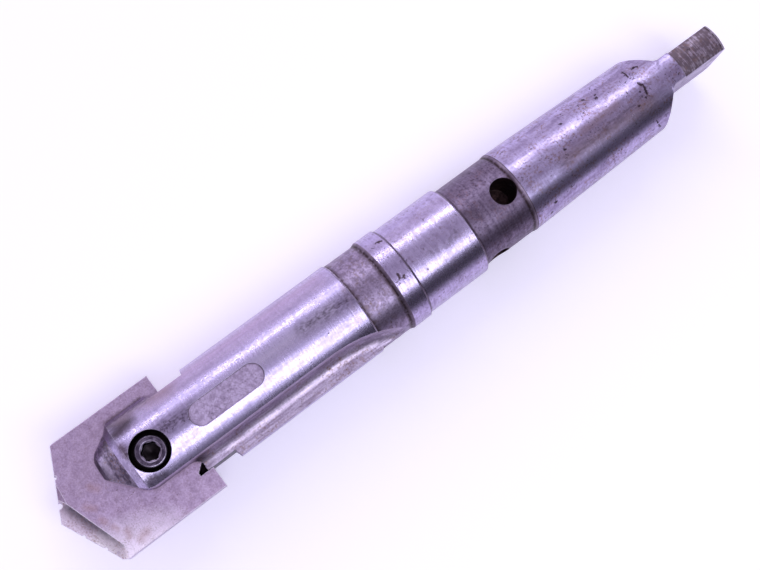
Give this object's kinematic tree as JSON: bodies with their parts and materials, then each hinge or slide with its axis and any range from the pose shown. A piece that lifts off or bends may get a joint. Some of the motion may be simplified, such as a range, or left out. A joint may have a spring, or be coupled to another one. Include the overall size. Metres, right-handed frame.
{
  "type": "indexable spade drill",
  "caption": "Taper-shank spade drill: flat two-lip blade clamped in a slotted, fluted steel holder with coolant holes, a ground seal land and a tang.",
  "frame": {"origin": "on the axis at the gauge plane, the big end of the taper", "axes": "+X along the axis from the cutting point to the tang, +Z square to the flat blade on the side of the screw head"},
  "size_m": [0.2088, 0.0334, 0.0264],
  "materials": {
    "holder_steel": "worn ground and turned steel",
    "blade_steel": "ground high-speed steel, stained",
    "screw_steel": "black oxide, worn bright on the head"
  },
  "bodies": {
    "holder": {"holder_body": "holder_steel"},
    "blade": {"spade_blade": "blade_steel"},
    "screw": {"clamp_screw": "screw_steel"}
  },
  "joints": [
    {"name": "blade_slide", "type": "slide", "parent": "holder", "child": "blade", "axis": [-1, 0, 0], "range_m": [0, 0.026]},
    {"name": "screw_lift", "type": "slide", "parent": "holder", "child": "screw", "axis": [0, 0, 1], "range_m": [0, 0.026]}
  ]
}
